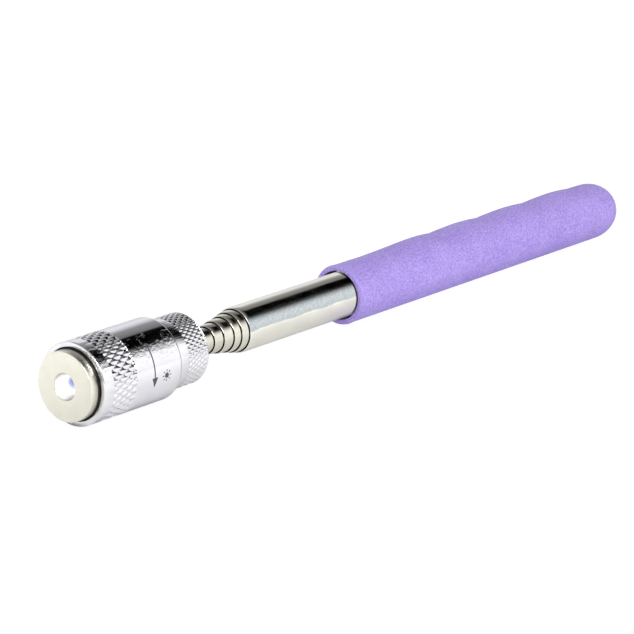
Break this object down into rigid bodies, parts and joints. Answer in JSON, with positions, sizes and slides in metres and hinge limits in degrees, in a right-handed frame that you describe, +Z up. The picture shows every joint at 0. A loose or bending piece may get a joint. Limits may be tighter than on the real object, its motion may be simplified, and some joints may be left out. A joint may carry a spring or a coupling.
{
  "type": "magnetic pickup tool",
  "caption": "Telescoping pickup tool: lit ring magnet in a knurled twist-switch head on nested sliding nickel tubes, with a finger-shaped lavender vinyl grip.",
  "frame": {"origin": "centre of the collapsed tool's bounding box at its underside, where the head barrel rests", "axes": "+X along the tool's axis from the grip to the magnet, +Z up through the crests of the grip's finger swells, +Y to the side with the printed arrow"},
  "size_m": [0.2072, 0.019, 0.0189],
  "materials": {
    "barrel_chrome": "bright chrome plating, diamond knurled at the front third",
    "cap_chrome": "bright chrome plating, diamond knurled",
    "magnet_nickel": "satin nickel plating",
    "cup_steel": "nickel-plated pressed steel",
    "outer_tube_nickel": "bright warm nickel plating",
    "section_nickel": "bright warm nickel plating",
    "grip_vinyl": "matte lavender vinyl with a fine pebbled grain",
    "collar_brass": "bright turned brass",
    "spring_steel": "plain spring strip",
    "plug_plastic": "natural white nylon",
    "fixing_steel": "zinc-plated steel",
    "insert_brass": "plain turned brass",
    "o_ring_rubber": "black nitrile rubber",
    "sleeve_plastic": "white insulating plastic",
    "cell_steel": "nickel-plated cell cans",
    "contact_brass": "plated contact strip",
    "holder_plastic": "white plastic",
    "lamp_clear": "clear epoxy lamp, lit cool white"
  },
  "bodies": {
    "handle": {"grip": "grip_vinyl", "outer_tube": "outer_tube_nickel", "end_plug": "plug_plastic"},
    "spring_5": {"friction_spring_5": "spring_steel"},
    "section_5": {"tube_5": "section_nickel", "collar_5": "collar_brass"},
    "spring_4": {"friction_spring_4": "spring_steel"},
    "section_4": {"tube_4": "section_nickel", "collar_4": "collar_brass"},
    "spring_3": {"friction_spring_3": "spring_steel"},
    "section_3": {"tube_3": "section_nickel", "collar_3": "collar_brass"},
    "spring_2": {"friction_spring_2": "spring_steel"},
    "section_2": {"tube_2": "section_nickel", "collar_2": "collar_brass"},
    "spring_1": {"friction_spring_1": "spring_steel"},
    "section_1": {"tube_1": "section_nickel", "collar_1": "collar_brass", "tip_insert": "insert_brass", "rear_cap": "cap_chrome", "cap_screw": "fixing_steel", "lock_washer": "fixing_steel", "contact_spring": "spring_steel", "o_ring": "o_ring_rubber", "battery_sleeve": "sleeve_plastic", "battery_cell_1": "cell_steel", "battery_cell_2": "cell_steel", "battery_cell_3": "cell_steel", "contact_disc": "contact_brass"},
    "head": {"head_barrel": "barrel_chrome", "ring_magnet": "magnet_nickel", "magnet_seat": "cup_steel", "led_lamp": "lamp_clear", "led_holder": "holder_plastic", "led_anode_pin": "contact_brass", "led_cathode_clip": "contact_brass"}
  },
  "joints": [
    {"name": "extend_5", "type": "slide", "parent": "handle", "child": "spring_5", "axis": [1, 0, 0], "range_m": [0, 0.125]},
    {"name": "spin_5", "type": "hinge", "parent": "spring_5", "child": "section_5", "pos_m": [0, 0, 0.00945], "axis": [1, 0, 0], "continuous": true},
    {"name": "extend_4", "type": "slide", "parent": "section_5", "child": "spring_4", "axis": [1, 0, 0], "range_m": [0, 0.125]},
    {"name": "spin_4", "type": "hinge", "parent": "spring_4", "child": "section_4", "pos_m": [0, 0, 0.00945], "axis": [1, 0, 0], "continuous": true},
    {"name": "extend_3", "type": "slide", "parent": "section_4", "child": "spring_3", "axis": [1, 0, 0], "range_m": [0, 0.125]},
    {"name": "spin_3", "type": "hinge", "parent": "spring_3", "child": "section_3", "pos_m": [0, 0, 0.00945], "axis": [1, 0, 0], "continuous": true},
    {"name": "extend_2", "type": "slide", "parent": "section_3", "child": "spring_2", "axis": [1, 0, 0], "range_m": [0, 0.125]},
    {"name": "spin_2", "type": "hinge", "parent": "spring_2", "child": "section_2", "pos_m": [0, 0, 0.00945], "axis": [1, 0, 0], "continuous": true},
    {"name": "extend_1", "type": "slide", "parent": "section_2", "child": "spring_1", "axis": [1, 0, 0], "range_m": [0, 0.125]},
    {"name": "spin_1", "type": "hinge", "parent": "spring_1", "child": "section_1", "pos_m": [0, 0, 0.00945], "axis": [1, 0, 0], "continuous": true},
    {"name": "head_twist", "type": "hinge", "parent": "section_1", "child": "head", "pos_m": [0.08, 0, 0.00945], "axis": [1, 0, 0], "range_deg": [0, 90]}
  ]
}
